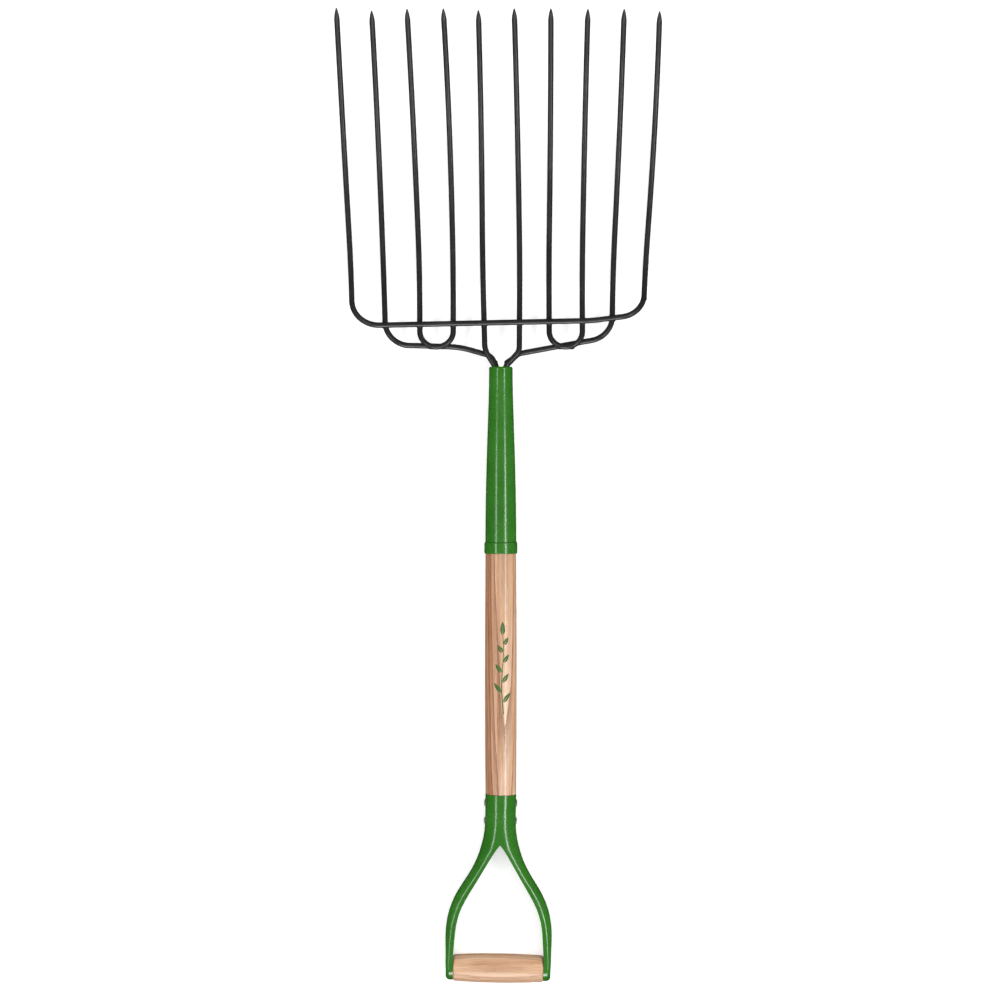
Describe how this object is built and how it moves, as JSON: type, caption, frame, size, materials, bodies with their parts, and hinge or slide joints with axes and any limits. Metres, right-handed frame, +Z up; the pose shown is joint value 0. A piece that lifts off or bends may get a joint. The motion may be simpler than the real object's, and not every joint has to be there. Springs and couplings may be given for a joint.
{
  "type": "bedding fork",
  "caption": "Wide scoop-shaped hand fork with a row of long curved round tines, a tapered steel ferrule, a wooden shaft and a riveted steel D-grip with a wooden cross bar.",
  "frame": {"origin": "on the surface that the fork lies on, under the middle of its bounding box", "axes": "+Y runs along the fork from the grip to the tine tips, +Z is up, out of the scoop, and +X is to the right seen from above with the tips away from the viewer"},
  "size_m": [0.4074, 1.216, 0.0665],
  "materials": {
    "black_paint": "satin black paint",
    "green_paint": "gloss green enamel",
    "bare_steel": "bare steel",
    "shaft_wood": "clear varnished pale hardwood",
    "grip_wood": "clear varnished pale hardwood"
  },
  "bodies": {
    "fork": {"outer_tine_bow": "black_paint", "left_rail_tine": "black_paint", "right_rail_tine": "black_paint", "left_tine_loop": "black_paint", "right_tine_loop": "black_paint", "left_centre_tine": "black_paint", "right_centre_tine": "black_paint", "crossbar_welds": "black_paint", "loop_welds": "black_paint", "shank_welds": "black_paint", "tang_weld": "bare_steel", "ferrule": "green_paint", "ferrule_collar": "green_paint", "tang_rivet": "bare_steel", "handle_shaft": "shaft_wood", "grip_yoke": "green_paint", "grip_rivet": "bare_steel", "upper_yoke_rivet": "bare_steel", "lower_yoke_rivet": "bare_steel"},
    "grip": {"grip_bar": "grip_wood"}
  },
  "joints": [
    {"name": "grip_spin", "type": "hinge", "parent": "fork", "child": "grip", "pos_m": [-0.00008, -0.58973, 0.0182], "axis": [0.9999, -0.0157, -0.0003], "continuous": true}
  ]
}
